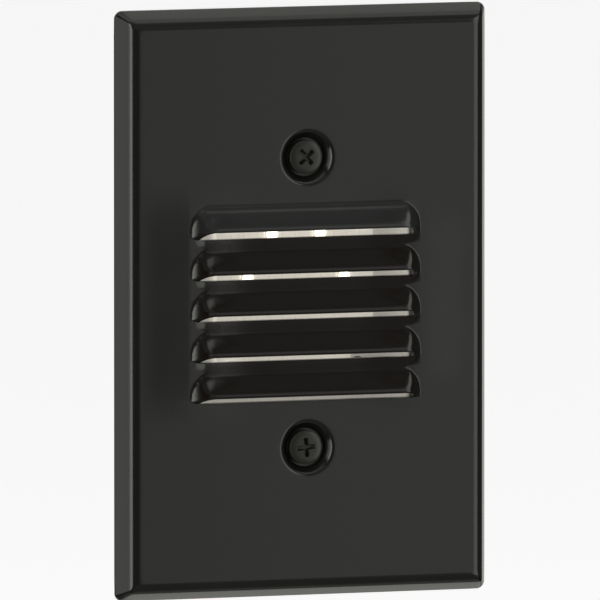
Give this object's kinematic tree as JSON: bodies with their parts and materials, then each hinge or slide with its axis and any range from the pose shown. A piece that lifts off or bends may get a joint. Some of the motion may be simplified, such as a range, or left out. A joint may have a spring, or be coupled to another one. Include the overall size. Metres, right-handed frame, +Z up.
{
  "type": "louvred step light",
  "caption": "Flush step light: upright black plate with hooded louvres over a lit LED board, two face screws, mounting strap and a driver housing behind for a wall box.",
  "frame": {"origin": "centre of the wall plane, midway between the two box-screw holes of the mounting strap", "axes": "+Z up the wall, -Y out of the wall through the louvred face, +Y into the wall box, +X to the right for someone looking at the wall from behind the camera's side (facing +Y)"},
  "size_m": [0.0816, 0.0416, 0.1224],
  "materials": {
    "plate_paint": "black powder coat, semi-gloss",
    "screw_paint": "black-painted steel",
    "foam": "closed-cell foam",
    "silicone": "grey silicone",
    "lens": "clear",
    "zinc_steel": "zinc plated",
    "rivet": "plain",
    "tray": "bright pressed sheet",
    "pad": "soft silicone",
    "board_white": "white solder mask",
    "led": "warm white, lit",
    "small_screw": "zinc plated",
    "nylon": "natural nylon",
    "lead_red": "red insulation",
    "lead_black": "black insulation",
    "bush": "black",
    "cast_housing": "as cast",
    "housing_screw": "zinc plated",
    "board_green": "green solder mask",
    "ferrite": "dark ferrite",
    "coil_tape": "yellow tape",
    "can_sleeve": "dark sleeve",
    "choke_sleeve": "black sleeve",
    "film_case": "moulded case",
    "varistor": "blue coating",
    "fuse_body": "ceramic",
    "chip_black": "black epoxy",
    "cover_seal": "black",
    "cover_sheet": "plain sheet",
    "grommet": "black",
    "ground_green": "green"
  },
  "bodies": {
    "root": {"face_plate": "plate_paint", "face_screws": "screw_paint", "wall_gasket": "foam", "lens_gasket": "silicone", "lens": "lens", "mounting_strap": "zinc_steel", "strap_rivets": "rivet", "light_tray": "tray", "thermal_pad": "pad", "led_board": "board_white", "led_chips": "led", "board_screws": "small_screw", "board_connector": "nylon", "lead_positive": "lead_red", "lead_negative": "lead_black", "lead_bush": "bush", "driver_housing": "cast_housing", "housing_screws": "housing_screw", "driver_board": "board_green", "driver_screws": "small_screw", "transformer_core": "ferrite", "transformer_coil": "coil_tape", "bulk_capacitor": "can_sleeve", "output_capacitor": "can_sleeve", "filter_choke": "choke_sleeve", "film_capacitor": "film_case", "surge_varistor": "varistor", "input_fuse": "fuse_body", "bridge_rectifier": "chip_black", "driver_chip": "chip_black", "driver_plug": "nylon", "cover_gasket": "cover_seal", "rear_cover": "cover_sheet", "cover_screws": "small_screw", "supply_grommet": "grommet", "ground_screw": "ground_green"}
  },
  "joints": []
}
